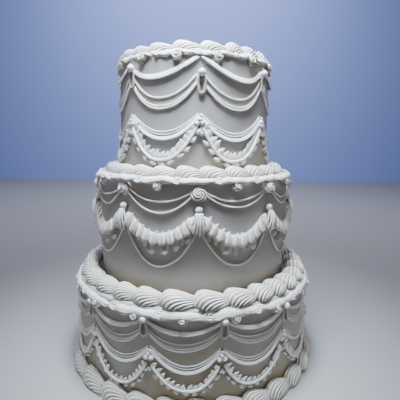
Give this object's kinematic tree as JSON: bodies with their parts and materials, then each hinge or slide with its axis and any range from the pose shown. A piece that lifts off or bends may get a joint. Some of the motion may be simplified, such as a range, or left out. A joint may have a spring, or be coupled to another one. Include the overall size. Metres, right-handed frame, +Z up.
{
  "type": "tiered wedding cake",
  "caption": "Round tiered wedding cake in ivory buttercream, its walls piped with swags, ruffles, pearls and tassels, its rims with scrolls and its feet with shells.",
  "frame": {"origin": "centre of the flat underside that the cake stands on", "axes": "+Z up the cake's axis, -Y towards the front of the picture"},
  "size_m": [0.2966, 0.297, 0.3474],
  "materials": {
    "icing": "soft satin buttercream, ivory",
    "shell_icing": "soft satin buttercream, ivory, piped"
  },
  "bodies": {
    "root": {"tier_bottom": "icing", "tier_middle": "icing", "tier_top": "icing", "shells_bottom_foot": "shell_icing", "shells_middle_foot": "shell_icing", "shells_top_foot": "shell_icing", "shells_top_rim": "shell_icing"}
  },
  "joints": []
}
